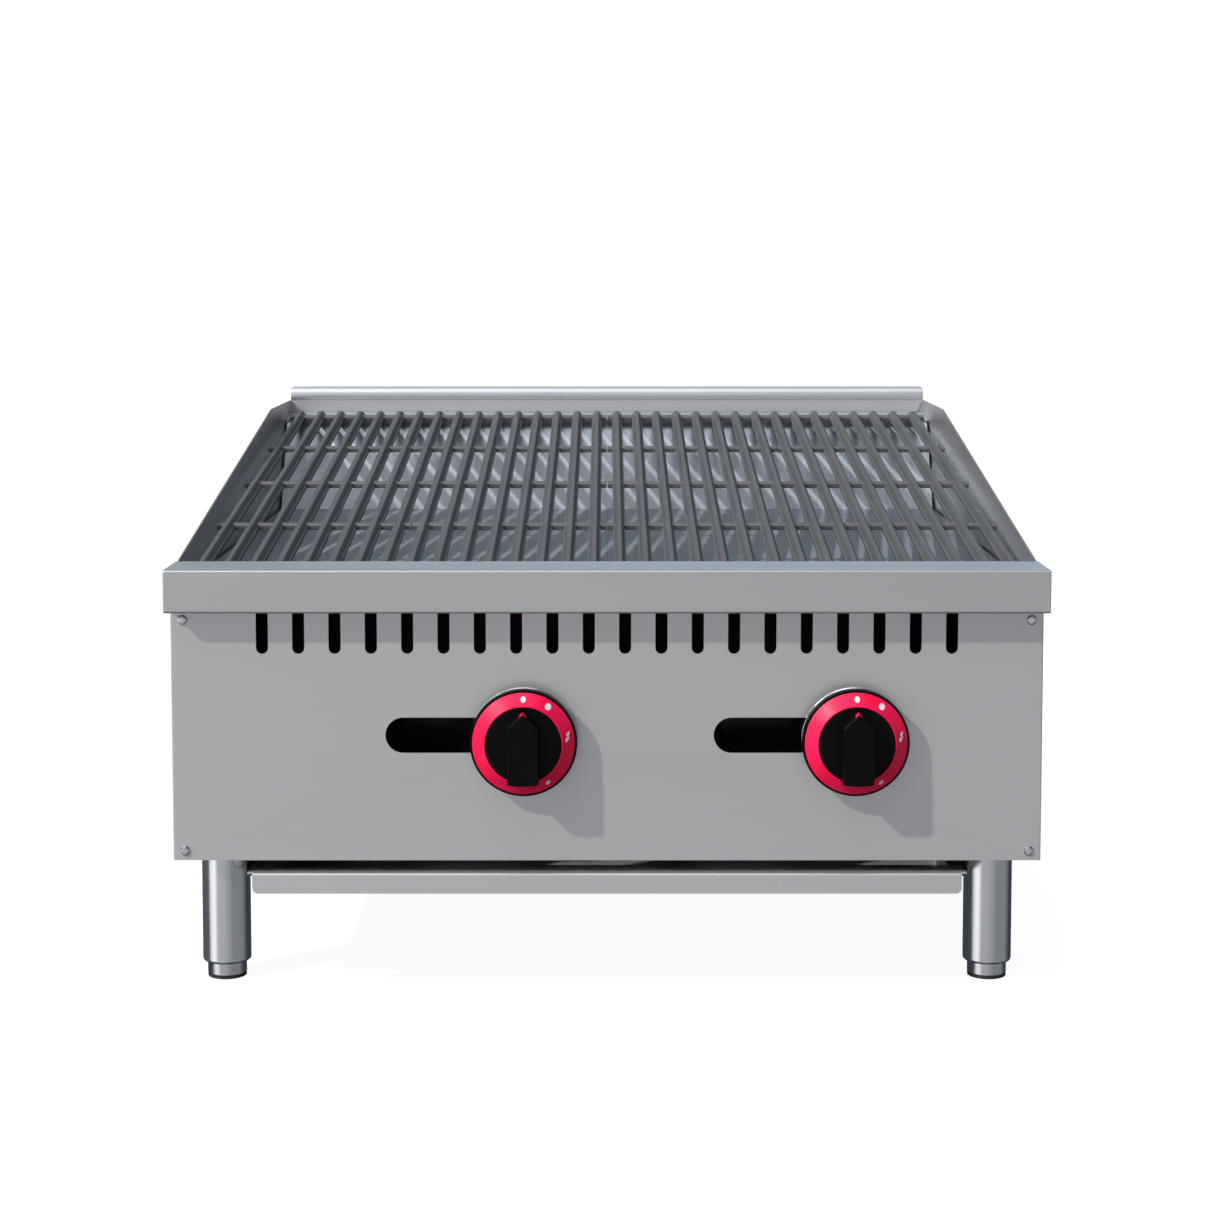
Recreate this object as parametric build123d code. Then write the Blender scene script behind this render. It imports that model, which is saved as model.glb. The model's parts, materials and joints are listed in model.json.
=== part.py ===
from build123d import *
import math
import os

# Countertop gas charbroiler, two burners, 24 inch class.  Millimetres, +Z up,
# +X to the operator's right, the operator stands at -Y.
# Working frame while modelling: X = 0 on the centre line, Y = 0 on the front
# face of the bullnose, Z = 0 on the worktop.  Y_CENTRE moves everything so that
# the origin ends at the bottom centre of the whole appliance.

# ---------------------------------------------------------------- driving sizes
Y_CENTRE = 361.0        # half way between knob grip front and gas inlet end
T = 1.5                 # body sheet thickness
BODY_HALF = 303.5       # body half width, outer
BODY_Z0 = 101.6         # underside of the body (4 in legs)
FRONT_Y = 20.0          # front face of the control panel
REAR_Y = 695.0          # rear end of the side panels
SIDE_TOP = 385.0        # side panel height at the rear
SIDE_KNEE_Y = 554.0     # where the sloped side edge becomes level
BULL_HALF = 305.0       # bullnose half width
BULL_DEPTH = 51.0       # ledge depth, front to back
BULL_Z0, BULL_Z1 = 278.5, 308.5
SPLASH_TOP = 398.0      # top of the rolled hem at the rear
HEM_HALF = 301.7

VENTS, VENT_PITCH, VENT_X0 = 20, 25.25, -239.9
VENT_W, VENT_Z0, VENT_Z1 = 8.4, 247.5, 278.5
SLOT_X, SLOT_LEN, SLOT_H, SLOT_Z = (-154.5, 74.4), 74.0, 25.0, 190.2

KNOB_X = (-57.8, 172.4)
KNOB_Z = 187.2
BURNER_LEGS = ((-172.4, -57.8), (57.8, 172.4))   # two legs of each burner loop
BURNER_R = 16.0

LEG_X, LEG_Y = 277.2, (90.0, 640.0)
LEG_R, LEG_WALL, LEG_Z0 = 17.5, 1.5, 11.5
FOOT_R = 14.1

GRATE_N, BARS, PITCH = 4, 8, 18.55
SECTION = PITCH * BARS                        # 148.4 per section
GRATE_Y0, GRATE_Y1 = 54.0, 661.0
GRATE_A, GRATE_B = 300.8, 0.1173              # top plane z = A + B * y
SLOPE = math.degrees(math.atan(GRATE_B))
BAR_D = 8.2                                   # bar depth

PLATE_Z = 288.5                               # heat plate underside
PLATE_HALF = 291.5                            # outer face of the plate side flanges
PLATE_EDGE = 300.2                            # the flat runs on over the liners
CREASE_Y = 600.0

TRAY_HALF, TRAY_LIP_HALF = 243.0, 248.5
TRAY_Y0, TRAY_Y1 = 35.0, 655.0
TRAY_Z0, TRAY_RIM_Z = 76.0, 91.4
LIP_Y0, LIP_Z0, LIP_Z1 = 19.0, 78.0, 92.6

os.makedirs("parts", exist_ok=True)


# ---------------------------------------------------------------- small helpers
def block(x0, x1, y0, y1, z0, z1):
    return Pos((x0 + x1) / 2, (y0 + y1) / 2, (z0 + z1) / 2) * Box(x1 - x0, y1 - y0, z1 - z0)


def rod_z(x, y, z0, z1, r):
    return Pos(x, y, (z0 + z1) / 2) * Cylinder(r, z1 - z0)


def rod_y(x, z, y0, y1, r):
    return Pos(x, (y0 + y1) / 2, z) * Rot(90, 0, 0) * Cylinder(r, y1 - y0)


def rod_x(y, z, x0, x1, r):
    return Pos((x0 + x1) / 2, y, z) * Rot(0, 90, 0) * Cylinder(r, x1 - x0)


def side_plate(points, x0, x1):
    """Outline in the Y-Z plane, thickness along X."""
    return extrude(Plane.YZ.offset(x0) * Polygon(*points, align=None), amount=x1 - x0, dir=(1, 0, 0))


def front_plate(sketch, y0, y1):
    """Sketch in X-Z as the operator sees it, thickness along Y."""
    return extrude(Plane.XZ.offset(-y1) * sketch, amount=y1 - y0, dir=(0, -1, 0))


def slot(cx, cz, length, height):
    """Obround outline, long side along X when length > height."""
    if length >= height:
        return Pos(cx, cz) * SlotOverall(length, height)
    return Pos(cx, cz) * SlotOverall(height, length, rotation=90)


def turned(profile, x, z, y_face):
    """Revolve (radius, distance in front of the panel) points about a -Y axis."""
    face = make_face(Polyline(*[(r, d) for r, d in profile], close=True))
    body = revolve(face, Axis.Y, 360)
    # local +Y becomes world -Y, so distance grows towards the operator
    return Pos(x, y_face, z) * Rot(0, 0, 180) * body


def out(name, *shapes):
    solids = [Pos(0, -Y_CENTRE, 0) * s for shape in shapes for s in shape.solids()]
    whole = solids[0] if len(solids) == 1 else Compound(children=solids)
    export_step(whole, "parts/" + name + ".step")
    print(name, len(solids))


def cut_all(shape, cutters):
    """Cut many separate tools in one go."""
    return shape - list(cutters)


# ---------------------------------------------------------------- outer casing
# Side panels: plain sheet, top edge rising to the rear, small turned flange at
# the bottom to take the base rail.
side_outline = [
    (FRONT_Y + T + 0.2, BODY_Z0),
    (REAR_Y - 0.3, BODY_Z0),
    (REAR_Y - 0.3, SIDE_TOP),
    (SIDE_KNEE_Y, SIDE_TOP),
    (BULL_DEPTH + 0.3, BULL_Z1 + 0.5),
    (BULL_DEPTH + 0.3, BULL_Z1 - T - 0.2),
    (FRONT_Y + T + 0.2, BULL_Z1 - T - 0.2),
]
for sign, side in ((-1, "left"), (1, "right")):
    x0, x1 = (BODY_HALF - T, BODY_HALF) if sign > 0 else (-BODY_HALF, -BODY_HALF + T)
    panel = side_plate(side_outline, x0, x1)
    top_edges = [e for e in panel.edges() if e.center().Z > BULL_Z1 + 1 and abs(e.center().X) > BODY_HALF - 0.2
                 and abs(e.tangent_at(0.5).X) < 0.1]
    panel = fillet(top_edges, 0.7)
    # a pair of screw holes near the front for the control panel tabs
    panel = panel - [rod_x(30.0, z, x0 - 1, x1 + 1, 2.2) for z in (130.0, 250.0)]
    # rear return, folded inwards behind the splash
    rr = sorted((sign * 286.0, sign * (BODY_HALF - 0.5)))
    panel = panel + block(rr[0], rr[1], 693.75, 694.7, BODY_Z0 + 2.4, SIDE_TOP - 1.2)
    panel = panel - [rod_y(sign * 294.0, z, 693.0, 695.5, 2.15) for z in (112.0, 240.0, 372.0)]
    out(side + "_side_panel", panel)

# Control panel: vent row, two oblong lighting slots, stem holes, screw holes,
# with returns along both sides and the bottom.
face = Pos(0, (BODY_Z0 + 306.6) / 2) * Rectangle(2 * BODY_HALF, 306.6 - BODY_Z0)
holes = [slot(VENT_X0 + i * VENT_PITCH, (VENT_Z0 + VENT_Z1 + 2.0) / 2, VENT_W, VENT_Z1 + 2.0 - VENT_Z0)
         for i in range(VENTS)]
holes += [slot(x + SLOT_LEN / 2, SLOT_Z, SLOT_LEN, SLOT_H) for x in SLOT_X]
holes += [Pos(x, KNOB_Z) * Circle(8.0) for x in KNOB_X]
holes += [Pos(x, z) * Circle(2.1) for x in (-295.1, 295.1) for z in (108.4, 271.3)]
face = face - holes
sheet = front_plate(face, FRONT_Y, FRONT_Y + T)
front_edges = [e for e in sheet.edges() if abs(e.center().Y - FRONT_Y) < 0.01
               and abs(abs(e.center().X) - BODY_HALF) < 0.01]
sheet = fillet(front_edges, 0.9)
returns = [
    block(-BODY_HALF + T + 0.3, -BODY_HALF + 2 * T + 0.3, FRONT_Y + T / 2, 38.0, 126.0, 268.0),
    block(BODY_HALF - 2 * T - 0.3, BODY_HALF - T - 0.3, FRONT_Y + T / 2, 38.0, 126.0, 268.0),
    block(-250.0, 250.0, FRONT_Y + T / 2, 34.0, BODY_Z0, BODY_Z0 + T),
]
out("front_panel", sheet + returns)

# Bullnose: folded ledge with closed ends, open underneath behind the panel.
bull = block(-BULL_HALF, BULL_HALF, 0, BULL_DEPTH, BULL_Z0, BULL_Z1)
soft = [e for e in bull.edges() if e.center().Y < 1 and abs(e.tangent_at(0.5).X) > 0.9]
bull = fillet(soft, 1.8)
soft = [e for e in bull.edges() if abs(abs(e.center().X) - BULL_HALF) < 0.01 and e.center().Y < BULL_DEPTH - 1]
bull = fillet(soft, 0.8)
bull = bull - block(-BODY_HALF - 0.2, BODY_HALF + 0.2, T, BULL_DEPTH - T, BULL_Z0 + T, BULL_Z1 - T)
bull = bull - block(-BODY_HALF - 0.2, BODY_HALF + 0.2, FRONT_Y - 0.2, BULL_DEPTH - T, BULL_Z0 - 1, BULL_Z1 - T)
# rear lip only reaches half way down and stays between the side panels
bull = bull - block(-BODY_HALF - 0.2, BODY_HALF + 0.2, BULL_DEPTH - T - 1, BULL_DEPTH + 1, BULL_Z0 - 1, 292.0)
for sx in (-1, 1):
    a, b = sorted((sx * (BODY_HALF - T - 0.3), sx * (BODY_HALF + 0.2)))
    bull = bull - block(a, b, BULL_DEPTH - T - 1, BULL_DEPTH + 1, BULL_Z0 - 1, BULL_Z1 - T)
out("bullnose", bull)

# Rear splash: inner rear wall, hemmed over at the top as a soft flat roll.
hem_face = make_face(
    Polyline((692.2, 383.6), (692.2, 385.4)) +
    ThreePointArc((692.2, 385.4), (690.9, 386.4), (690.2, 388.0)) +
    ThreePointArc((690.2, 388.0), (691.6, 394.6), (697.0, SPLASH_TOP)) +
    ThreePointArc((697.0, SPLASH_TOP), (699.9, 396.8), (701.0, 394.0)) +
    Polyline((701.0, 394.0), (701.0, 385.0), (699.6, 385.0), (699.6, 393.6)) +
    ThreePointArc((699.6, 393.6), (698.9, 395.6), (697.0, 396.5)) +
    ThreePointArc((697.0, 396.5), (692.8, 393.6), (691.7, 388.4)) +
    Polyline((691.7, 388.4), (693.7, 386.6), (693.7, 383.6), (692.2, 383.6)))
hem = extrude(Plane.YZ.offset(-HEM_HALF) * hem_face, amount=2 * HEM_HALF, dir=(1, 0, 0))
corners = [block(sx * HEM_HALF - 3.0, sx * HEM_HALF + 3.0, 688.0, 703.0, SPLASH_TOP - 3.0, SPLASH_TOP + 3.0)
           for sx in (-1, 1)]
rounds = [rod_y(sx * (HEM_HALF - 3.0), SPLASH_TOP - 3.0, 688.0, 703.0, 3.0) for sx in (-1, 1)]
hem = hem - [c - r for c, r in zip(corners, rounds)]
# folded face of the hem, then the wall going down behind the rear grate rest
wall_outline = Polygon((-HEM_HALF, 386.5), (-295.4, 374.0), (-295.4, 330.0), (295.4, 330.0), (295.4, 374.0),
                       (HEM_HALF, 386.5), align=None)
wall = front_plate(wall_outline, 692.2, 693.7)
out("rear_splash", hem + wall)

# Rear cover, louvred for combustion air, hooked under the hem.
back = Pos(0, (BODY_Z0 + 384.0) / 2) * Rectangle(2 * BODY_HALF, 384.0 - BODY_Z0)
back_holes = [slot(-225.0 + 30.0 * i, 300.0, 20.0, 5.0) for i in range(16)]
back_holes += [slot(-225.0 + 30.0 * i, 286.0, 20.0, 5.0) for i in range(16)]
back_holes += [slot(-225.0 + 30.0 * i, 272.0, 20.0, 5.0) for i in range(16)]
back_holes += [Pos(225.0, 160.0) * Circle(15.5)]
back_holes += [Pos(x, z) * Circle(2.1) for x in (-294.0, 294.0) for z in (112.0, 240.0, 372.0)]
back = back - back_holes
out("rear_panel", front_plate(back, REAR_Y, REAR_Y + T))


# ---------------------------------------------------------------- base frame
def base_rail(sx):
    a = [sx * 254.8, sx * 301.7]
    flat = block(min(a), max(a), 36.0, 693.0, BODY_Z0, BODY_Z0 + 2.0)
    b = [sx * 254.8, sx * 256.8]
    lip = block(min(b), max(b), 36.0, 693.0, BODY_Z0, 122.0)
    c = [sx * 299.7, sx * 301.7]
    wall = block(min(c), max(c), 42.0, 693.0, BODY_Z0, 120.0)
    rail = flat + [lip, wall]
    rail = rail - [rod_z(sx * LEG_X, y, BODY_Z0 - 1, BODY_Z0 + 3, 5.4) for y in LEG_Y]
    return rail - [rod_x(y, 112.0, min(b) - 1, max(b) + 1, 2.2) for y in (120.0, 360.0, 600.0)]


out("left_base_rail", base_rail(-1))
out("right_base_rail", base_rail(1))

front_cross = block(-252.7, 252.7, 42.0, 66.0, 104.0, 106.0) + block(-252.7, 252.7, 64.0, 66.0, 104.0, 126.0)
out("front_cross_rail", front_cross)
rear_cross = block(-252.7, 252.7, 662.0, 692.0, 104.0, 106.0) + block(-252.7, 252.7, 662.0, 664.0, 104.0, 126.0)
out("rear_cross_rail", rear_cross)


# ---------------------------------------------------------------- legs and feet
def leg(x, y):
    tube = rod_z(x, y, LEG_Z0, BODY_Z0, LEG_R)
    low = [e for e in tube.edges() if e.center().Z < LEG_Z0 + 0.1]
    tube = fillet(low, 2.4)
    tube = tube - rod_z(x, y, LEG_Z0 - 1, 52.0, LEG_R - LEG_WALL)
    tube = tube - rod_z(x, y, 58.0, BODY_Z0 - 3.0, LEG_R - LEG_WALL)
    # threaded web half way up takes the foot stud, top disc takes the bolt
    return tube - [rod_z(x, y, 50.0, 60.0, 5.4), rod_z(x, y, BODY_Z0 - 4, BODY_Z0 + 1, 5.4)]


def foot(x, y):
    cup = rod_z(x, y, 2.2, 30.0, FOOT_R)
    cup = fillet([e for e in cup.edges() if e.center().Z < 3], 1.0)
    stud = rod_z(x, y, 29.0, 78.0, 5.0)
    stud = chamfer([e for e in stud.edges() if e.center().Z > 77], 1.0)
    return cup + stud


def pad(x, y):
    disc = rod_z(x, y, 0.0, 2.2, 14.0)
    return fillet([e for e in disc.edges() if e.center().Z < 0.1], 0.7)


for fy, fname in zip(LEG_Y, ("front", "rear")):
    for sx, sname in ((-1, "left"), (1, "right")):
        tag = fname + "_" + sname
        out("leg_" + tag, leg(sx * LEG_X, fy))
        out("foot_" + tag, foot(sx * LEG_X, fy))
        out("foot_pad_" + tag, pad(sx * LEG_X, fy))

bolts = []
for fy in LEG_Y:
    for sx in (-1, 1):
        x = sx * LEG_X
        head = extrude(Pos(x, fy, BODY_Z0 + 2.0) * RegularPolygon(9.2, 6), amount=6.4)
        bolts.append(head + rod_z(x, fy, BODY_Z0 - 10.0, BODY_Z0 + 2.5, 5.0))
out("leg_bolts", *bolts)

# ---------------------------------------------------------------- firebox
for sx, side in ((-1, "left"), (1, "right")):
    a = sorted((sx * 294.0, sx * 295.2))
    liner = side_plate([(103.0, 126.0), (690.0, 126.0), (690.0, 288.2), (103.0, 288.2)], *a)
    b = sorted((sx * 294.0, sx * 301.7))
    tabs = [block(b[0], b[1], y, y + 30.0, 126.0, 127.2) for y in (120.0, 360.0, 600.0)]
    tabs += [block(b[0], b[1], y, y + 30.0, 270.0, 271.2) for y in (120.0, 360.0, 600.0)]
    out("firebox_" + side + "_liner", liner + tabs)

# Front baffle keeps the heat off the valves; burner throats pass through it and
# two windows line up with the lighting slots.
baffle = Pos(0, (126.0 + 286.0) / 2) * Rectangle(2 * 293.6, 160.0)
baffle_holes = [Pos(legs[1], KNOB_Z) * Circle(20.0) for legs in BURNER_LEGS]
baffle_holes += [slot(x + 34.0, SLOT_Z, 60.0, 26.0) for x in SLOT_X]
baffle_holes += [Pos(225.0, 160.0) * Circle(15.0)]
baffle_holes += [Pos(x - 26.0, KNOB_Z) * Circle(2.9) for x in KNOB_X]
baffle = front_plate(baffle - baffle_holes, 104.0, 105.2)
shelf = block(-293.6, 293.6, 84.0, 105.2, 284.8, 286.0)
out("front_baffle", baffle + shelf)

# Heat plates lie level above the burners from the bullnose to the crease.
for sx, side in ((-1, "left"), (1, "right")):
    a = sorted((sx * 0.1, sx * PLATE_EDGE))
    plate = block(a[0], a[1], 53.0, CREASE_Y - 0.2, PLATE_Z, PLATE_Z + 1.5)
    a = sorted((sx * 0.1, sx * PLATE_HALF))
    b = sorted((sx * (PLATE_HALF - 1.5), sx * PLATE_HALF))
    plate = plate + block(b[0], b[1], 110.0, 590.0, PLATE_Z - 18.0, PLATE_Z + 1.5)
    plate = plate + block(a[0], a[1], 53.0, 54.5, PLATE_Z - 12.0, PLATE_Z + 1.5)
    out("heat_plate_" + side, plate)

# Rear deflector: rises steeply from the crease to the front edge of the rear rest.
REST_Y0 = 651.0
rest_z = GRATE_A + GRATE_B * REST_Y0 - BAR_D - 0.5     # top of the rest at its front edge
top_z = rest_z - 2.3
deflector = side_plate(
    [(CREASE_Y, PLATE_Z), (CREASE_Y + 1.0, PLATE_Z + 1.7), (REST_Y0 - 2.1, top_z), (REST_Y0 - 0.6, top_z),
     (REST_Y0 - 1.0, top_z - 1.4), (CREASE_Y + 2.0, PLATE_Z)], -PLATE_EDGE, PLATE_EDGE)
out("rear_deflector", deflector)

# Grate rests: strips welded between the side panels, sloped like the grates.
out("front_grate_rest", side_plate([(54.8, 296.4), (74.0, 298.7), (74.0, 300.6), (54.8, 298.4)], -301.7, 301.7))
slope_rise = GRATE_B * (690.4 - REST_Y0)
rear_rest = side_plate([(REST_Y0, rest_z - 2.0), (690.4, rest_z - 2.0 + slope_rise), (690.4, rest_z + slope_rise),
                        (REST_Y0, rest_z)], -301.7, 301.7)
out("rear_grate_rest", rear_rest)


# ---------------------------------------------------------------- burners
def burner(xa, xb):
    """Loop burner: two tubes along Y joined at the rear, throat on the right."""
    ya, yb = 130.0, 575.0
    outer = rod_y(xa, KNOB_Z, ya, yb, BURNER_R) + [
        rod_y(xb, KNOB_Z, 112.0, yb, BURNER_R),
        rod_x(yb, KNOB_Z, xa, xb, BURNER_R),
        Pos(xa, yb, KNOB_Z) * Sphere(BURNER_R),
        Pos(xb, yb, KNOB_Z) * Sphere(BURNER_R),
    ]
    throat = turned([(0, -113.0 + 20), (BURNER_R, -113.0 + 20), (BURNER_R, -106.0 + 20), (19.0, -101.5 + 20),
                     (0, -101.5 + 20)], xb, KNOB_Z, FRONT_Y)
    whole = outer + throat
    bore = rod_y(xa, KNOB_Z, ya + 2.5, yb, BURNER_R - 2) + [
        rod_y(xb, KNOB_Z, 96.0, yb, BURNER_R - 2), rod_x(yb, KNOB_Z, xa, xb, BURNER_R - 2)]
    whole = whole - bore
    ports = []
    for x in (xa, xb):
        for i in range(16):
            for dx in (-6.0, 6.0):
                ports.append(block(x + dx - 1.0, x + dx + 1.0, 150.0 + i * 25.0, 162.0 + i * 25.0,
                                   KNOB_Z + 6, KNOB_Z + BURNER_R + 2))
    whole = whole - ports
    # feet that stand on the rear burner rest
    for x in (xa, xb):
        whole = whole + block(x - 9, x + 9, 540.0, 543.0, 160.0, KNOB_Z - BURNER_R + 2.0)
    return whole


for (xa, xb), side in zip(BURNER_LEGS, ("left", "right")):
    out("burner_" + side, burner(xa, xb))

rest = block(-293.6, 293.6, 530.0, 556.0, 158.0, 160.0) + block(-293.6, 293.6, 554.0, 556.0, 142.0, 160.0)
rest = rest - rod_y(225.0, 160.0, 529.0, 557.0, 14.6)
out("burner_rest", rest)

# ---------------------------------------------------------------- gas train
PIPE_R, MAN_Y, MAN_Z, INLET_X, INLET_END = 13.35, 70.0, 160.0, 225.0, 738.0
manifold = rod_x(MAN_Y, MAN_Z, -92.0, 205.0, PIPE_R) + [
    rod_x(MAN_Y, MAN_Z, -104.0, -88.0, 16.5),
]
manifold = manifold - [rod_x(MAN_Y, MAN_Z, -88.0, 206.0, PIPE_R - 2.9)]
manifold = manifold - [rod_z(x, MAN_Y, MAN_Z + 5, MAN_Z + 20, 6.2) for x in KNOB_X]
out("gas_manifold", manifold)

elbow = rod_x(MAN_Y, MAN_Z, 205.2, INLET_X, 17.0) + [
    Pos(INLET_X, MAN_Y, MAN_Z) * Sphere(17.0), rod_y(INLET_X, MAN_Z, MAN_Y, 92.0, 17.0)]
elbow = elbow - [rod_x(MAN_Y, MAN_Z, 205.0, INLET_X, 10.4), Pos(INLET_X, MAN_Y, MAN_Z) * Sphere(10.4),
                 rod_y(INLET_X, MAN_Z, MAN_Y, 93.0, 10.4)]
out("gas_elbow", elbow)
pipe = rod_y(INLET_X, MAN_Z, 92.2, 719.0, PIPE_R)
# threaded end at its pitch radius, shown as a plain cylinder
thread = rod_y(INLET_X, MAN_Z, 718.0, INLET_END, 13.0)
thread = chamfer([e for e in thread.edges() if e.center().Y > INLET_END - 1], 1.2)
pipe = (pipe - block(INLET_X - 20, INLET_X + 20, 718.0, 720.0, MAN_Z - 20, MAN_Z + 20)) + thread
pipe = pipe - rod_y(INLET_X, MAN_Z, 92.0, INLET_END + 1, PIPE_R - 2.9)
out("gas_inlet_pipe", pipe)

for x, side in zip(KNOB_X, ("left", "right")):
    bodyv = block(x - 13, x + 13, 48.0, 82.0, 175.0, 200.0)
    bodyv = chamfer(bodyv.edges().filter_by(Axis.Y), 2.0)
    bodyv = bodyv + [rod_y(x, KNOB_Z, 34.0, 48.5, 11.0), rod_y(x, KNOB_Z, 24.0, 35.0, 7.4),
                     rod_z(x, MAN_Y, MAN_Z + 8.0, 176.0, 6.0)]
    bodyv = bodyv - [rod_y(x, KNOB_Z, 23.0, 48.0, 4.5), rod_y(x, KNOB_Z, 66.0, 83.0, 4.2)]
    out("valve_body_" + side, bodyv)
    hood = extrude(Plane.XZ.offset(-97.0) * (Pos(x, KNOB_Z) * RegularPolygon(7.2, 6)), amount=14.8)
    hood = hood + rod_y(x, KNOB_Z, 74.0, 83.0, 4.1)
    hood = hood - [rod_y(x, KNOB_Z, 73.0, 94.0, 2.2), rod_y(x, KNOB_Z, 93.0, 98.0, 0.9)]
    out("orifice_" + side, hood)
    stem = rod_y(x, KNOB_Z, 4.0, 46.0, 4.0)
    stem = stem - block(x - 5, x + 5, 3.0, 16.0, KNOB_Z + 2.4, KNOB_Z + 5)
    stem = stem + rod_y(x, KNOB_Z, 22.2, 23.4, 5.6)
    out("valve_stem_" + side, stem)

# Pilots: small tube from each valve to a pilot head beside the burner.
pilots, pilot_tubes = [], []
for x in KNOB_X:
    px = x - 26.0
    head = block(px - 5, px + 5, 128.0, 140.0, KNOB_Z - 10, KNOB_Z + 14)
    head = head - rod_y(px, KNOB_Z + 6, 132.0, 141.0, 3.0)
    pilots.append(head)
    path = FilletPolyline((x - 13.1, 60.0, KNOB_Z), (px - 0.0, 60.0, KNOB_Z), (px, 127.9, KNOB_Z), radius=8)
    ring = Plane(origin=path @ 0, z_dir=path % 0) * Circle(2.4)
    pilot_tubes.append(sweep(ring, path=path))
out("pilot_burners", *pilots)
out("pilot_tubes", *pilot_tubes)

# ---------------------------------------------------------------- controls
for x, side in zip(KNOB_X, ("left", "right")):
    # distances are measured out from the panel face
    bezel = turned([(9.0, 0.05), (36.8, 0.05), (36.8, 0.9), (36.1, 1.5), (9.0, 1.5)], x, KNOB_Z, FRONT_Y)
    out("knob_bezel_" + side, bezel)

    core = turned([(5.0, 5.0), (9.0, 5.0), (9.0, 18.0), (24.0, 18.0), (24.0, 12.2), (35.0, 12.2), (35.0, 6.0),
                   (36.6, 6.0), (37.2, 6.6), (37.2, 13.6), (36.6, 14.2), (26.55, 14.2), (26.55, 21.6), (26.15, 22.0),
                   (0, 22.0), (0, 19.6), (5.0, 19.6)], x, KNOB_Z, FRONT_Y)
    arc = ThreePointArc((-11.0, -25.4), (0, -26.5), (11.0, -25.4))
    outline = make_face(arc + Polyline((11.0, -25.4), (11.0, 14.0), (0, 24.6), (-11.0, 14.0), (-11.0, -25.4)))
    grip = extrude(Plane.XZ.offset(-(FRONT_Y - 21.9)) * (Pos(x, KNOB_Z) * outline), amount=14.1, taper=2)
    crown = [e for e in grip.edges() if e.center().Y < FRONT_Y - 35.8]
    grip = fillet(crown, 0.5)
    # D shaped lug inside the bore matches the flat on the stem
    lug = block(x - 4.0, x + 4.0, FRONT_Y - 15.0, FRONT_Y - 8.0, KNOB_Z + 3.1, KNOB_Z + 6.0)
    out("knob_" + side, core + [grip, lug])

    ring = turned([(26.65, 14.3), (35.5, 14.3), (35.5, 14.7), (27.2, 21.7), (26.65, 21.7)], x, KNOB_Z, FRONT_Y)
    out("knob_ring_" + side, ring)

screws = []
for x in (-295.1, 295.1):
    for z in (108.4, 271.3):
        head = turned([(0, 0.05), (3.5, 0.05), (3.5, 0.9), (2.6, 2.0), (1.4, 2.4), (0, 2.5)], x, z, FRONT_Y)
        cross = [block(x - 2.3, x + 2.3, FRONT_Y - 3, FRONT_Y - 1.0, z - 0.6, z + 0.6),
                 block(x - 0.6, x + 0.6, FRONT_Y - 3, FRONT_Y - 1.0, z - 2.3, z + 2.3)]
        screws.append((head - cross) + rod_y(x, z, FRONT_Y - 0.1, FRONT_Y + 9.0, 1.9))
out("panel_screws", *screws)

screws = []
for x in (-294.0, 294.0):
    for z in (112.0, 240.0, 372.0):
        head = Pos(x, REAR_Y + T, z) * revolve(
            make_face(Polyline((0, 0.05), (3.5, 0.05), (3.5, 0.9), (2.6, 2.0), (0, 2.5), close=True)), Axis.Y, 360)
        screws.append(head + rod_y(x, z, REAR_Y - 1.0, REAR_Y + T + 0.2, 1.9))
out("rear_screws", *screws)


# ---------------------------------------------------------------- crumb tray
def tray_rail(sx):
    web = sorted((sx * 253.0, sx * 254.5))
    rail = block(web[0], web[1], 24.0, 690.0, 90.2, 120.0)
    flange = sorted((sx * 245.6, sx * 254.5))
    rail = rail + block(flange[0], flange[1], 24.0, 690.0, 89.5, 91.0)
    outer = [e for e in rail.edges() if abs(e.center().Z - 89.5) < 0.01 and abs(abs(e.center().X) - 254.5) < 0.01
             and abs(e.tangent_at(0.5).Y) > 0.9]
    if outer:
        rail = fillet(outer, 0.7)
    return rail - [rod_x(y, 112.0, web[0] - 1, web[1] + 1, 2.2) for y in (120.0, 360.0, 600.0)]


out("left_tray_rail", tray_rail(-1))
out("right_tray_rail", tray_rail(1))

W = 1.2
pan = block(-TRAY_HALF, TRAY_HALF, TRAY_Y0, TRAY_Y1, TRAY_Z0, TRAY_RIM_Z + W)
pan = fillet([e for e in pan.edges() if abs(e.tangent_at(0.5).Z) > 0.9], 6.0)
low = [e for e in pan.edges() if e.center().Z < TRAY_Z0 + 0.05]
pan = fillet(low, 2.5)
hollow = block(-TRAY_HALF + W, TRAY_HALF - W, TRAY_Y0 + W, TRAY_Y1 - W, TRAY_Z0 + W, TRAY_RIM_Z + 4)
hollow = fillet([e for e in hollow.edges() if abs(e.tangent_at(0.5).Z) > 0.9], 4.8)
rims = [block(-252.3, -TRAY_HALF + 0.5, 22.0, TRAY_Y1, TRAY_RIM_Z, TRAY_RIM_Z + W),
        block(TRAY_HALF - 0.5, 252.3, 22.0, TRAY_Y1, TRAY_RIM_Z, TRAY_RIM_Z + W),
        block(-TRAY_LIP_HALF + 1, TRAY_LIP_HALF - 1, LIP_Y0 + 0.5, TRAY_Y0 + 1, TRAY_RIM_Z, TRAY_RIM_Z + W)]
lip = block(-TRAY_LIP_HALF, TRAY_LIP_HALF, LIP_Y0, LIP_Y0 + W, LIP_Z0, LIP_Z1)
lip = fillet([e for e in lip.edges() if abs(e.tangent_at(0.5).Y) > 0.9 and e.center().Z < LIP_Z0 + 1], 4.0)
tray = (pan + rims + lip) - hollow
bend = [e for e in tray.edges() if abs(e.center().Y - LIP_Y0) < 0.02 and abs(e.center().Z - LIP_Z1) < 0.02]
tray = fillet(bend, 2.0)
out("crumb_tray", tray)


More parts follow.
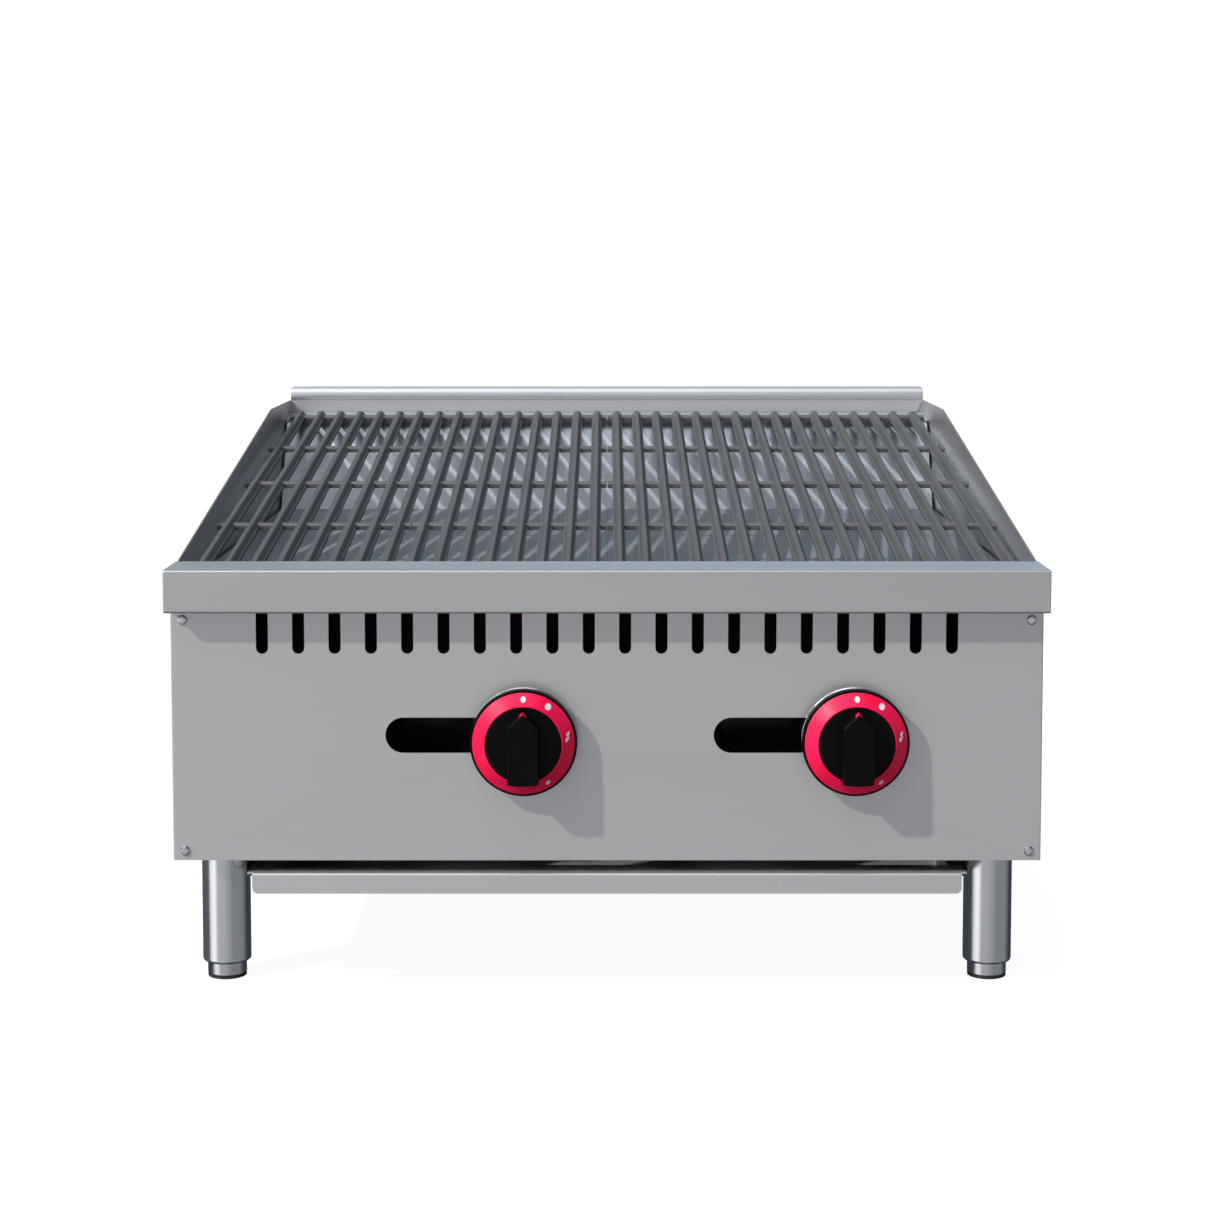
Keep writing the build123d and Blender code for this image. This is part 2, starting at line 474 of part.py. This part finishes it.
# ---------------------------------------------------------------- grates
def grate(x0):
    """One cast section of eight bars, modelled level and then tilted."""
    run = (GRATE_Y1 - GRATE_Y0) / math.cos(math.radians(SLOPE))
    section = Polygon((-4.7, -5.3), (-4.4, -8.2), (4.4, -8.2), (4.7, -5.3), (4.7, -4.9), (3.6, -4.5), (1.9, -0.5),
                      (1.4, 0.0), (-1.4, 0.0), (-1.9, -0.5), (-3.6, -4.5), (-4.7, -4.9), align=None)
    # side view: nose rounded at the rear, small lead-in at the front
    prof = Plane.YZ.offset(-8) * make_face(
        Polyline((0, -8.2), (0, -1.6), (1.6, 0.0), (run - 13.0, 0.0)) +
        ThreePointArc((run - 13.0, 0.0), (run - 4.6, -1.9), (run, -6.6)) +
        Polyline((run, -6.6), (run, -8.2), (0, -8.2)))
    side = extrude(prof, amount=16, dir=(1, 0, 0))
    stick = extrude(Plane.XZ * section, amount=run, dir=(0, 1, 0))
    bar = stick & side
    bars = [Pos(PITCH * (i + 0.5), 0, 0) * bar for i in range(BARS)]
    k = 1 / math.cos(math.radians(SLOPE))
    rungs = []
    for y in (62.0, 192.0, 344.0, 493.6, 643.6):
        d = (y - GRATE_Y0) * k
        rung = Polygon((d - 3.4, -4.2), (d - 2.0, -2.8), (d + 2.0, -2.8), (d + 3.4, -4.2), (d + 3.4, -7.0),
                       (d + 2.8, -7.6), (d - 2.8, -7.6), (d - 3.4, -7.0), align=None)
        rungs.append(extrude(Plane.YZ.offset(0.3) * rung, amount=SECTION - 0.6, dir=(1, 0, 0)))
    whole = bars[0] + (bars[1:] + rungs)
    return Pos(x0, GRATE_Y0, GRATE_A + GRATE_B * GRATE_Y0) * Rot(SLOPE, 0, 0) * whole


for i in range(GRATE_N):
    out("grate_" + str(i + 1), grate((i - GRATE_N / 2) * SECTION))
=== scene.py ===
import bpy, bmesh, json, math, random
from mathutils import Vector, Matrix


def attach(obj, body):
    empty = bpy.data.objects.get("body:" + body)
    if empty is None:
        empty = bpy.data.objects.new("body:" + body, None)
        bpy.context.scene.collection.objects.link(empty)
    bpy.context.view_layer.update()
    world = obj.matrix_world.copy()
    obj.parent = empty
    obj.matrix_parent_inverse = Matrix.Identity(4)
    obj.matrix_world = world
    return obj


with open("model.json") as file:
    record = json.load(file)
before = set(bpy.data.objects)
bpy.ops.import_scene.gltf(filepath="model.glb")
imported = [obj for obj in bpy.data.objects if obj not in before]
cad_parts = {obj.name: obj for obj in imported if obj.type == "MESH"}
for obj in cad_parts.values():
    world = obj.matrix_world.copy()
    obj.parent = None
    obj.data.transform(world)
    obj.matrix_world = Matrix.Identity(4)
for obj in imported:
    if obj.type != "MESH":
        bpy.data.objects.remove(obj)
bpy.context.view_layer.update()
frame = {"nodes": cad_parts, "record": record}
N = frame["nodes"]
sc = bpy.context.scene

YC = 0.361                      # bullnose front face lies at y = -YC in the row frame


# ------------------------------------------------------------------ node helpers
class M:
    """A small wrapper that makes node chains short to write."""

    def __init__(self, name):
        self.mat = bpy.data.materials.new(name)
        self.mat.use_nodes = True
        self.nt = self.mat.node_tree
        self.bsdf = self.nt.nodes["Principled BSDF"]
        tc = self.nt.nodes.new("ShaderNodeTexCoord")
        self.co = tc.outputs["Object"]
        self.geo = self.nt.nodes.new("ShaderNodeNewGeometry")

    def link(self, a, b):
        self.nt.links.new(a, b)

    def map(self, scale=(1, 1, 1), loc=(0, 0, 0), rot=(0, 0, 0)):
        n = self.nt.nodes.new("ShaderNodeMapping")
        n.inputs["Scale"].default_value = scale
        n.inputs["Location"].default_value = loc
        n.inputs["Rotation"].default_value = rot
        self.link(self.co, n.inputs["Vector"])
        return n.outputs["Vector"]

    def noise(self, scale=(1, 1, 1), detail=3.0, rough=0.5, loc=(0, 0, 0), distort=0.0, rot=(0, 0, 0)):
        n = self.nt.nodes.new("ShaderNodeTexNoise")
        n.inputs["Scale"].default_value = 1.0
        n.inputs["Detail"].default_value = detail
        n.inputs["Roughness"].default_value = rough
        n.inputs["Distortion"].default_value = distort
        self.link(self.map(scale, loc, rot), n.inputs["Vector"])
        return n.outputs["Fac"]

    def voronoi(self, scale=(1, 1, 1), feature="F1", rnd=1.0):
        n = self.nt.nodes.new("ShaderNodeTexVoronoi")
        n.feature = feature
        n.inputs["Scale"].default_value = 1.0
        n.inputs["Randomness"].default_value = rnd
        self.link(self.map(scale), n.inputs["Vector"])
        return n.outputs["Distance"]

    def rng(self, v, a, b, c=0.0, d=1.0, smooth=False):
        n = self.nt.nodes.new("ShaderNodeMapRange")
        n.interpolation_type = "SMOOTHSTEP" if smooth else "LINEAR"
        for k, x in zip(("From Min", "From Max", "To Min", "To Max"), (a, b, c, d)):
            n.inputs[k].default_value = x
        self.link(v, n.inputs["Value"])
        return n.outputs["Result"]

    def math(self, op, a, b=None):
        n = self.nt.nodes.new("ShaderNodeMath")
        n.operation = op
        for i, x in enumerate((a, b)):
            if x is None:
                continue
            if isinstance(x, (int, float)):
                n.inputs[i].default_value = x
            else:
                self.link(x, n.inputs[i])
        return n.outputs[0]

    def mix(self, fac, a, b):
        n = self.nt.nodes.new("ShaderNodeMix")
        n.data_type = "RGBA"
        n.clamp_factor = True
        for key, x in (("Factor", fac), ("A", a), ("B", b)):
            s = [i for i in n.inputs if i.name == key and i.type == ("VALUE" if key == "Factor" else "RGBA")][0]
            if isinstance(x, tuple):
                s.default_value = (*x, 1.0) if len(x) == 3 else x
            elif isinstance(x, (int, float)):
                s.default_value = x
            else:
                self.link(x, s)
        return [o for o in n.outputs if o.type == "RGBA"][0]

    def sep(self, v):
        n = self.nt.nodes.new("ShaderNodeSeparateXYZ")
        self.link(v, n.inputs[0])
        return n.outputs

    def edge(self, lo=0.52, hi=0.6):
        """How convex the surface is, for worn edges and painted edge highlights."""
        return self.rng(self.geo.outputs["Pointiness"], lo, hi, 0, 1, True)

    def bump(self, h, strength=0.2, dist=0.0002, prev=None):
        n = self.nt.nodes.new("ShaderNodeBump")
        n.inputs["Strength"].default_value = strength
        n.inputs["Distance"].default_value = dist
        self.link(h, n.inputs["Height"])
        if prev is not None:
            self.link(prev, n.inputs["Normal"])
        return n.outputs["Normal"]

    def set(self, color=None, rough=None, metallic=None, normal=None, **kw):
        b = self.bsdf.inputs
        if color is not None:
            if isinstance(color, tuple):
                b["Base Color"].default_value = (*color, 1)
            else:
                self.link(color, b["Base Color"])
        if rough is not None:
            if isinstance(rough, (int, float)):
                b["Roughness"].default_value = rough
            else:
                self.link(rough, b["Roughness"])
        if metallic is not None:
            if isinstance(metallic, (int, float)):
                b["Metallic"].default_value = metallic
            else:
                self.link(metallic, b["Metallic"])
        if normal is not None:
            self.link(normal, b["Normal"])
        for k, v in kw.items():
            b[k.replace("_", " ")].default_value = v
        return self.mat


def scaled(c, k):
    return tuple(min(1.0, x * k) for x in c)


def brushed(name, col, rough=0.3, grain="x", fine=1.0, spread=0.05, edge_wear_and_highlight=True, bump=0.05, metallic=1.0):
    """Satin sheet steel: long fine scratches along one axis, broad cloudy variation, and convex edges painted
    brighter: a painted edge highlight, partly real rubbing.
    """
    m = M(name)
    s = {"x": (3, 900, 900), "y": (900, 3, 900), "z": (900, 900, 3)}[grain]
    s2 = {"x": (14, 2600, 2600), "y": (2600, 14, 2600), "z": (2600, 2600, 14)}[grain]
    streak = m.noise(tuple(v * fine for v in s), 4.0, 0.62)
    hair = m.noise(tuple(v * fine for v in s2), 2.0, 0.5, loc=(3.1, 1.7, 0.4))
    cloud = m.noise((5, 5, 5), 3.0, 0.55, loc=(0.3, 0.9, 2.0))
    smudge = m.noise((26, 26, 26), 4.0, 0.6, loc=(7.0, 2.0, 5.0), distort=0.6)
    tone = m.math("ADD", m.rng(streak, 0.25, 0.75, -spread, spread), m.rng(cloud, 0.3, 0.7, -spread * 0.6, spread * 0.6))
    c = m.mix(m.rng(tone, -2 * spread, 2 * spread), scaled(col, 1 - 1.6 * spread), scaled(col, 1 + 1.6 * spread))
    if edge_wear_and_highlight:
        # convex edges get a brighter base colour: painted edge highlight, partly real rubbing of the sheet edges
        c = m.mix(m.math("MULTIPLY", m.edge(0.53, 0.62), 0.35), c, scaled(col, 1.25))
    r = m.math("ADD", m.rng(streak, 0.2, 0.8, rough - 0.05, rough + 0.06), m.rng(smudge, 0.45, 0.75, 0.0, 0.035))
    r = m.math("ADD", r, m.rng(hair, 0.3, 0.7, -0.02, 0.02))
    nrm = m.bump(streak, bump, 0.00012)
    nrm = m.bump(hair, bump * 0.6, 0.00006, nrm)
    return m.set(c, r, metallic, nrm)


MAT = {}
MAT["panel_steel"] = brushed("satin_panel_steel", (0.53, 0.53, 0.535), 0.34, "x", spread=0.03, metallic=0.72)
MAT["bullnose_steel"] = brushed("satin_bullnose_steel", (0.54, 0.54, 0.545), 0.32, "x", spread=0.03, metallic=0.76)
MAT["splash_steel"] = brushed("satin_splash_steel", (0.60, 0.605, 0.62), 0.36, "x", spread=0.03, metallic=0.70)
MAT["frame_steel"] = brushed("mill_frame_steel", (0.10, 0.10, 0.105), 0.46, "y", metallic=0.9)
MAT["leg_steel"] = brushed("polished_leg_tube", (0.60, 0.61, 0.63), 0.16, "z", spread=0.03, bump=0.03, metallic=0.92)
MAT["foot_steel"] = brushed("turned_foot_steel", (0.55, 0.56, 0.58), 0.22, "z", spread=0.03)
MAT["tray_steel"] = brushed("satin_tray_steel", (0.54, 0.545, 0.55), 0.30, "x", spread=0.03, metallic=0.65)
MAT["zinc_fastener"] = brushed("zinc_plate", (0.56, 0.57, 0.55), 0.35, "z", fine=0.4, bump=0.02)
MAT["stem_steel"] = brushed("turned_stem_steel", (0.55, 0.55, 0.56), 0.25, "z")
MAT["pilot_aluminium"] = brushed("drawn_aluminium", (0.72, 0.73, 0.75), 0.35, "x")


def chrome(name, col, rough):
    m = M(name)
    n = m.noise((300, 300, 300), 3.0, 0.5)
    w = m.noise((60, 60, 60), 4.0, 0.6, loc=(4, 1, 2))
    c = m.mix(m.rng(w, 0.3, 0.7), scaled(col, 0.94), scaled(col, 1.05))
    r = m.rng(n, 0.3, 0.7, rough * 0.8, rough * 1.3)
    return m.set(c, r, 1.0, m.bump(n, 0.03, 0.0001))


MAT["screw_chrome"] = chrome("screw_plate", (0.72, 0.73, 0.75), 0.18)
MAT["bezel_chrome"] = chrome("bezel_plate", (0.78, 0.79, 0.81), 0.14)


def cast_iron():
    """Seasoned cast iron: fine sandy grain, shallow pits and broad blotches."""
    m = M("seasoned_cast_iron")
    sand = m.noise((900, 900, 900), 3.0, 0.6)
    pit = m.voronoi((420, 420, 420))
    blotch = m.noise((28, 14, 28), 4.0, 0.6, loc=(1.0, 3.0, 0.2))
    base = m.mix(m.rng(blotch, 0.32, 0.68), (0.115, 0.117, 0.122), (0.150, 0.152, 0.157))
    base = m.mix(m.math("MULTIPLY", m.rng(sand, 0.45, 0.7), 0.3), base, (0.20, 0.197, 0.192))
    r = m.math("ADD", m.rng(sand, 0.3, 0.7, 0.44, 0.54), m.rng(blotch, 0.3, 0.7, -0.04, 0.04))
    nrm = m.bump(sand, 0.16, 0.0002)
    nrm = m.bump(m.rng(pit, 0.0, 0.6), 0.08, 0.0003, nrm)
    return m.set(base, r, 0.35, nrm, Specular_IOR_Level=0.3)


MAT["grate_iron"] = cast_iron()


def hot_steel(name, col, rough, soot=0.5, tint=(0.30, 0.27, 0.24), metallic=0.75):
    """Sheet steel that has been through heat: bluish cloudy oxide and faint soot; the firebox and burner pass a
    near-black colour, painted shade for the dark inside of the body.
    """
    m = M(name)
    cloud = m.noise((7, 5, 7), 4.0, 0.6, loc=(2, 5, 1), distort=0.4)
    fine = m.noise((300, 40, 300), 3.0, 0.55)
    spot = m.noise((60, 60, 60), 4.0, 0.65, loc=(9, 3, 3))
    c = m.mix(m.rng(cloud, 0.3, 0.7), scaled(col, 0.88), scaled(col, 1.1))
    c = m.mix(m.math("MULTIPLY", m.rng(spot, 0.52, 0.72), soot), c, tint)
    c = m.mix(m.rng(fine, 0.3, 0.7, 0, 0.25), c, scaled(col, 0.8))
    r = m.math("ADD", m.rng(cloud, 0.3, 0.7, rough - 0.06, rough + 0.06), m.rng(fine, 0.3, 0.7, -0.03, 0.03))
    return m.set(c, r, metallic, m.bump(fine, 0.06, 0.0002))


MAT["heat_plate_steel"] = hot_steel("blued_heat_plate", (0.48, 0.52, 0.58), 0.37, 0.12, (0.36, 0.35, 0.34), 0.58)
# near-black base colours of the firebox and burner steel: painted shade standing in for the dark inside of the body,
# partly real soot
MAT["firebox_steel"] = hot_steel("firebox_soot_and_painted_shade", (0.016, 0.016, 0.017), 0.75, 0.6, (0.008, 0.008, 0.008), 0.2)
MAT["burner_steel"] = hot_steel("burner_soot_and_painted_shade", (0.022, 0.020, 0.019), 0.65, 0.6, (0.010, 0.009, 0.008), 0.3)


def pipe_black():
    m = M("black_gas_pipe")
    n = m.noise((400, 400, 400), 4.0, 0.6)
    b = m.noise((30, 30, 30), 3.0, 0.6)
    c = m.mix(m.rng(b, 0.35, 0.65), (0.014, 0.014, 0.016), (0.030, 0.029, 0.028))
    c = m.mix(m.math("MULTIPLY", m.edge(0.52, 0.6), 0.4), c, (0.10, 0.095, 0.09))
    return m.set(c, m.rng(n, 0.3, 0.7, 0.38, 0.55), 0.4, m.bump(n, 0.15, 0.0003))


MAT["gas_pipe"] = pipe_black()
MAT["valve_brass"] = hot_steel("machined_brass", (0.60, 0.43, 0.17), 0.28, 0.2, (0.25, 0.16, 0.07), 1.0)


def rubber():
    m = M("foot_rubber")
    n = m.noise((700, 700, 700), 4.0, 0.6)
    d = m.noise((60, 60, 60), 3.0, 0.5)
    c = m.mix(m.rng(d, 0.4, 0.7), (0.012, 0.012, 0.013), (0.03, 0.029, 0.028))
    return m.set(c, m.rng(n, 0.3, 0.7, 0.6, 0.8), 0.0, m.bump(n, 0.25, 0.0003))


MAT["pad_rubber"] = rubber()


def plastic(name, lo, hi, rough, coat=0.0, grain=0.03, spec=0.5):
    m = M(name)
    n = m.noise((1500, 1500, 1500), 2.0, 0.5)
    d = m.noise((45, 45, 45), 4.0, 0.6, loc=(2, 2, 7))
    s = m.noise((90, 1200, 400), 3.0, 0.6, rot=(0.2, 0.5, 0.9))
    c = m.mix(m.rng(d, 0.35, 0.7), lo, hi)
    r = m.math("ADD", m.rng(d, 0.3, 0.7, rough * 0.85, rough * 1.2), m.rng(s, 0.62, 0.75, 0.0, 0.08))
    return m.set(c, r, 0.0, m.bump(n, grain, 0.00015), Coat_Weight=coat, Coat_Roughness=0.12, Specular_IOR_Level=spec)


MAT["knob_black"] = plastic("knob_gloss_black", (0.0020, 0.0020, 0.0021), (0.0034, 0.0034, 0.0036), 0.34, 0.0, 0.02, 0.07)
MAT["knob_red"] = plastic("knob_ring_red", (0.86, 0.004, 0.060), (0.92, 0.007, 0.085), 0.40, 0.0, 0.03, 0.25)
MARK = plastic("mark_white", (0.74, 0.76, 0.76), (0.85, 0.86, 0.86), 0.5)

rec = frame["record"]
slot_of = {}
for sp in rec.get("subparts", []):
    slot_of[sp["node"]] = sp.get("material_slot", sp["node"])
GRAIN_Y = brushed("satin_side_steel", (0.50, 0.50, 0.505), 0.34, "y", spread=0.03, metallic=0.75)
for name, ob in N.items():
    mat = MAT[slot_of[name]]
    if name in ("left_side_panel", "right_side_panel"):
        mat = GRAIN_Y
    for ms in ob.material_slots:
        ms.material = mat
    if not ob.material_slots:
        ob.data.materials.append(mat)


# ------------------------------------------------------------------ mesh helpers
def add(name, bm, body, mat, smooth=True):
    bmesh.ops.remove_doubles(bm, verts=bm.verts, dist=1e-7)
    bmesh.ops.recalc_face_normals(bm, faces=bm.faces)
    me = bpy.data.meshes.new(name)
    bm.to_mesh(me)
    bm.free()
    if smooth:
        for p in me.polygons:
            p.use_smooth = True
        me.set_sharp_from_angle(angle=math.radians(35))
    ob = bpy.data.objects.new(name, me)
    sc.collection.objects.link(ob)
    me.materials.append(mat)
    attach(ob, body)
    return ob


def inlay(bm, outline, place, lift, thick, cuts=2):
    """Closed thin plate from a flat outline [(u, v)], bent onto a surface by place(u, v, height)."""
    vs = [bm.verts.new((u, v, 0)) for u, v in outline]
    f = bm.faces.new(vs)
    tri = bmesh.ops.triangulate(bm, faces=[f])["faces"]
    if cuts:
        edges = list({e for t in tri for e in t.edges})
        bmesh.ops.subdivide_edges(bm, edges=edges, cuts=cuts, use_grid_fill=True)
    tag = bm.faces.layers.int.get("done") or bm.faces.layers.int.new("done")
    fresh = [g for g in bm.faces if g[tag] == 0]
    top = list(fresh)
    ext = bmesh.ops.extrude_face_region(bm, geom=top)
    moved = [g for g in ext["geom"] if isinstance(g, bmesh.types.BMVert)]
    moved_set = set(moved)
    lower = {v for t in top if t.is_valid for v in t.verts} - moved_set
    for v in moved:
        v.co = place(v.co.x, v.co.y, lift + thick)
    for v in lower:
        v.co = place(v.co.x, v.co.y, lift - 0.0001)
    for g in bm.faces:
        g[tag] = 1


# Knob markings sit on the red cone: a dot, a spark, a double flame, a small flame.
KNOB_X = {"left": -0.0578, "right": 0.1724}
KNOB_Z, PANEL_Y = 0.1872, 0.020 - YC
CONE = ((0.0355, 0.0147), (0.0272, 0.0217))     # (radius, distance from the panel)
CONE_LEN = math.hypot(CONE[0][0] - CONE[1][0], CONE[1][1] - CONE[0][1])


def on_cone(kx, angle):
    """Maps (u round the ring, v outwards from mid slope) to a point; angle clockwise from the top."""
    def place(u, v, h):
        t = 0.5 - v / CONE_LEN
        r = CONE[0][0] + (CONE[1][0] - CONE[0][0]) * t
        d = CONE[0][1] + (CONE[1][1] - CONE[0][1]) * t
        nr, nd = (CONE[1][1] - CONE[0][1]) / CONE_LEN, (CONE[0][0] - CONE[1][0]) / CONE_LEN
        r, d = r + nr * h, d + nd * h
        a = angle + u / 0.0314
        return Vector((kx + r * math.sin(a), PANEL_Y - d, KNOB_Z + r * math.cos(a)))
    return place


def circle(cx, cy, r, n=28, wob=None):
    return [(cx + (r * (wob(i) if wob else 1)) * math.cos(2 * math.pi * i / n),
             cy + (r * (wob(i) if wob else 1)) * math.sin(2 * math.pi * i / n)) for i in range(n)]


def flame(cx, cy, w, h, lean=0.0):
    pts = []
    for i in range(26):
        t = i / 26 * 2 * math.pi
        y = -math.cos(t)
        wd = math.sin(t) * (1.0 - 0.55 * max(0.0, y)) * (1 - 0.25 * (y > 0.4))
        pts.append((cx + w * wd * 0.5 + lean * max(0, y) * w, cy + h * 0.5 * y))
    return pts


def bend(points, angle, at=(0, 0)):
    c, s = math.cos(angle), math.sin(angle)
    return [(at[0] + c * x - s * y, at[1] + s * x + c * y) for x, y in points]


for side, kx in KNOB_X.items():
    bm = bmesh.new()
    inlay(bm, [(0.0018 * math.cos(t), 0.0026 * math.sin(t)) for t in (2 * math.pi * i / 28 for i in range(28))],
          on_cone(kx, 0.0), 0.00004, 0.00014, 1)
    spark = [(0.0026 * k * math.cos(t), 0.0030 * k * math.sin(t)) for i in range(32)
             for t, k in ((2 * math.pi * i / 32, 1.0 if i % 4 == 0 else (0.74 if i % 2 else 0.86)),)]
    inlay(bm, spark, on_cone(kx, math.radians(33)), 0.00004, 0.00014, 1)
    # a double flame beside the ring and a single small one low down, drawn with their tips up
    for at, turn, w, h in (((-0.0019, 0.0006), 0.9, 0.0020, 0.0042), ((0.0014, -0.0008), 0.9, 0.0022, 0.0048)):
        inlay(bm, bend(flame(0, 0, w, h, 0.3), turn, at), on_cone(kx, math.radians(80)), 0.00004, 0.00014, 1)
    inlay(bm, bend(flame(0, 0, 0.0032, 0.0042, 0.2), 2.3), on_cone(kx, math.radians(147)), 0.00004, 0.00014, 1)
    add("knob_marks_" + side, bm, "knob_" + side, MARK)

    # red tip inlaid across the crest of the grip: a thin saddle over both sloping walls
    bm = bmesh.new()
    apex, half = 0.0246, math.atan2(0.0110, 0.0106)
    nu, nd = 6, 8
    grid = []
    for j in range(nd + 1):
        d = 0.0290 + (0.0350 - 0.0290) * j / nd
        inset = (d - 0.0219) * math.tan(math.radians(2.0))
        top = apex - inset / math.sin(half)
        row = []
        for i in range(-nu, nu + 1):
            along = abs(i) / nu * 0.0030
            u = math.copysign(along * math.sin(half), i) if i else 0.0
            v = top - along * math.cos(half)
            row.append((u, d, v, math.copysign(math.cos(half), i) if i else 0.0, math.sin(half) if i else 1.0))
        grid.append(row)
    outer = [[bm.verts.new((kx + u + nx * 0.00012, PANEL_Y - d, KNOB_Z + v + nz * 0.00012))
              for u, d, v, nx, nz in row] for row in grid]
    inner = [[bm.verts.new((kx + u - nx * 0.0001, PANEL_Y - d, KNOB_Z + v - nz * 0.0001))
              for u, d, v, nx, nz in row] for row in grid]
    for j in range(nd):
        for i in range(2 * nu):
            bm.faces.new((outer[j][i], outer[j][i + 1], outer[j + 1][i + 1], outer[j + 1][i]))
            bm.faces.new((inner[j][i], inner[j + 1][i], inner[j + 1][i + 1], inner[j][i + 1]))
    for j in range(nd):
        for i in (0, 2 * nu):
            bm.faces.new((outer[j][i], outer[j + 1][i], inner[j + 1][i], inner[j][i]))
    for i in range(2 * nu):
        for j in (0, nd):
            bm.faces.new((outer[j][i], outer[j][i + 1], inner[j][i + 1], inner[j][i]))
    add("knob_pointer_" + side, bm, "knob_" + side, MAT["knob_red"])


# ------------------------------------------------------------------ studio
def stage_floor():
    """Pale floor that sweeps up into a backdrop far behind."""
    bm = bmesh.new()
    prof = [(-14.0, 0.0)] + [(9.0, 0.0)]
    for i in range(1, 13):
        a = i / 12 * math.pi / 2
        prof.append((9.0 + 3.0 * math.sin(a), 3.0 - 3.0 * math.cos(a)))
    prof.append((12.0, 16.0))
    rows = [[bm.verts.new((x, y, z - 0.0005)) for x in (-22.0, 22.0)] for y, z in prof]
    for a, b in zip(rows, rows[1:]):
        bm.faces.new((a[0], a[1], b[1], b[0]))
    me = bpy.data.meshes.new("studio_floor")
    bm.to_mesh(me)
    bm.free()
    for p in me.polygons:
        p.use_smooth = True
    ob = bpy.data.objects.new("studio_floor", me)
    sc.collection.objects.link(ob)
    m = M("pale_floor")
    n = m.noise((0.7, 0.7, 0.7), 3.0, 0.5)
    c = m.mix(m.rng(n, 0.3, 0.7), (0.86, 0.86, 0.86), (0.90, 0.90, 0.90))
    c = m.mix(0.75, c, (0.02, 0.02, 0.02))
    me.materials.append(m.set(c, 0.8, 0.0, m.bump(m.noise((40, 40, 40)), 0.02, 0.001), Specular_IOR_Level=0.0,
                              Emission_Color=(1.0, 1.0, 1.0, 1.0), Emission_Strength=0.93))
    ob.visible_glossy = False
    ob.visible_diffuse = False
    return ob


stage_floor()

# World: what the camera and the floor see is plain; polished steel sees a soft
# studio with a light left front, a bright ceiling and darker right side.
w = bpy.data.worlds.new("studio")
sc.world = w
w.use_nodes = True
nt = w.node_tree
nt.nodes.clear()
out = nt.nodes.new("ShaderNodeOutputWorld")
bg = nt.nodes.new("ShaderNodeBackground")
bg_cam = nt.nodes.new("ShaderNodeBackground")
mixs = nt.nodes.new("ShaderNodeMixShader")
lp = nt.nodes.new("ShaderNodeLightPath")
tc = nt.nodes.new("ShaderNodeTexCoord")
bg_cam.inputs["Color"].default_value = (1, 1, 1, 1)
bg_cam.inputs["Strength"].default_value = 1.0
nt.links.new(lp.outputs["Is Camera Ray"], mixs.inputs[0])
nt.links.new(bg.outputs[0], mixs.inputs[1])
nt.links.new(bg_cam.outputs[0], mixs.inputs[2])
nt.links.new(mixs.outputs[0], out.inputs["Surface"])


def vec(*v):
    l = math.sqrt(sum(x * x for x in v))
    return tuple(x / l for x in v)


def lobe(direction, inner, outer, color):
    """Soft round light on the world: angles in degrees from its centre."""
    dot = nt.nodes.new("ShaderNodeVectorMath")
    dot.operation = "DOT_PRODUCT"
    nt.links.new(tc.outputs["Generated"], dot.inputs[0])
    dot.inputs[1].default_value = vec(*direction)
    mr = nt.nodes.new("ShaderNodeMapRange")
    mr.interpolation_type = "SMOOTHSTEP"
    mr.inputs["From Min"].default_value = math.cos(math.radians(outer))
    mr.inputs["From Max"].default_value = math.cos(math.radians(inner))
    nt.links.new(dot.outputs["Value"], mr.inputs["Value"])
    sca = nt.nodes.new("ShaderNodeVectorMath")
    sca.operation = "SCALE"
    sca.inputs[0].default_value = color
    nt.links.new(mr.outputs["Result"], sca.inputs["Scale"])
    return sca.outputs[0]


def total(parts):
    acc = parts[0]
    for p in parts[1:]:
        a = nt.nodes.new("ShaderNodeVectorMath")
        a.operation = "ADD"
        nt.links.new(acc, a.inputs[0])
        nt.links.new(p, a.inputs[1])
        acc = a.outputs[0]
    return acc


base = nt.nodes.new("ShaderNodeVectorMath")
base.operation = "ADD"
base.inputs[0].default_value = (0.050, 0.060, 0.076)
base.inputs[1].default_value = (0, 0, 0)
LOBES = [
    ((-0.30, 0.05, 0.95), 5, 52, (0.68, 0.73, 0.80)),       # ceiling
    ((-0.10, -0.50, 0.86), 5, 24, (1.60, 1.62, 1.66)),      # panel of light above the front
    ((0.10, 1.0, 0.16), 4, 30, (0.42, 0.56, 0.66)),         # cool glow behind
    ((-0.42, -1.0, -0.14), 5, 62, (0.52, 0.52, 0.525)),     # front fill
    ((-0.87, -0.48, -0.09), 6, 28, (1.10, 1.10, 1.12)),     # light left front
    ((0.87, -0.48, -0.08), 15, 56, (0.26, 0.262, 0.266)),  # weak right
]
nt.links.new(total([base.outputs[0]] + [lobe(*l) for l in LOBES]), bg.inputs["Color"])
bg.inputs["Strength"].default_value = 1.0

key = bpy.data.lights.new("key", "SUN")
key.energy = 3.1
key.angle = math.radians(1.6)
key.color = (1.0, 0.985, 0.96)
ko = bpy.data.objects.new("key", key)
ko.rotation_euler = Vector((0.624, 0.4955, -0.6045)).to_track_quat("-Z", "Y").to_euler()
sc.collection.objects.link(ko)

# ------------------------------------------------------------------ camera
cam = bpy.data.cameras.new("camera")
cam.sensor_fit = "HORIZONTAL"
cam.sensor_width = 36.0
cam.lens = 75.266
cam.shift_y = -0.12
cam.clip_start = 0.05
cam.clip_end = 100.0
co = bpy.data.objects.new("camera", cam)
co.location = (0.0, -(1.798 - 0.06992) - YC, 0.531 - 0.00485)
co.rotation_euler = (math.radians(90.0 - 4.7186), 0.0, 0.0)
sc.collection.objects.link(co)
sc.camera = co
sc.view_settings.view_transform = "Standard"
sc.view_settings.look = "None"
